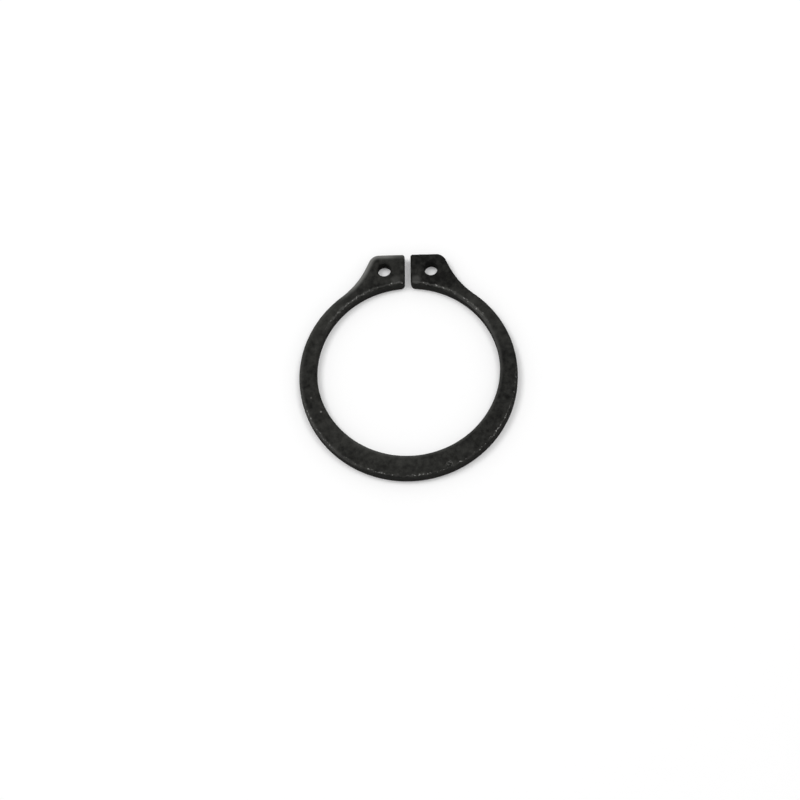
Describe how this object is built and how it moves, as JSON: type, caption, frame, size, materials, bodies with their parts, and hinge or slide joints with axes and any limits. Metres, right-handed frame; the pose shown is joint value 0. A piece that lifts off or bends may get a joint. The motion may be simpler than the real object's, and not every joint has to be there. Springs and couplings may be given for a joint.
{
  "type": "external retaining ring",
  "caption": "Flat open spring ring with a tapering band and pierced lugs beside its gap, which snaps into a shaft's groove and stops parts sliding along it.",
  "frame": {"origin": "axis of the bore, in the plane of the lower face that the ring lies on", "axes": "+Z along the bore axis, out of the face with the rolled edges; +Y from the bore towards the gap; +X to the right of the gap"},
  "size_m": [0.0332, 0.0366, 0.0019],
  "materials": {
    "black_spring_steel": "satin"
  },
  "bodies": {
    "root": {"retaining_ring": "black_spring_steel"}
  },
  "joints": []
}
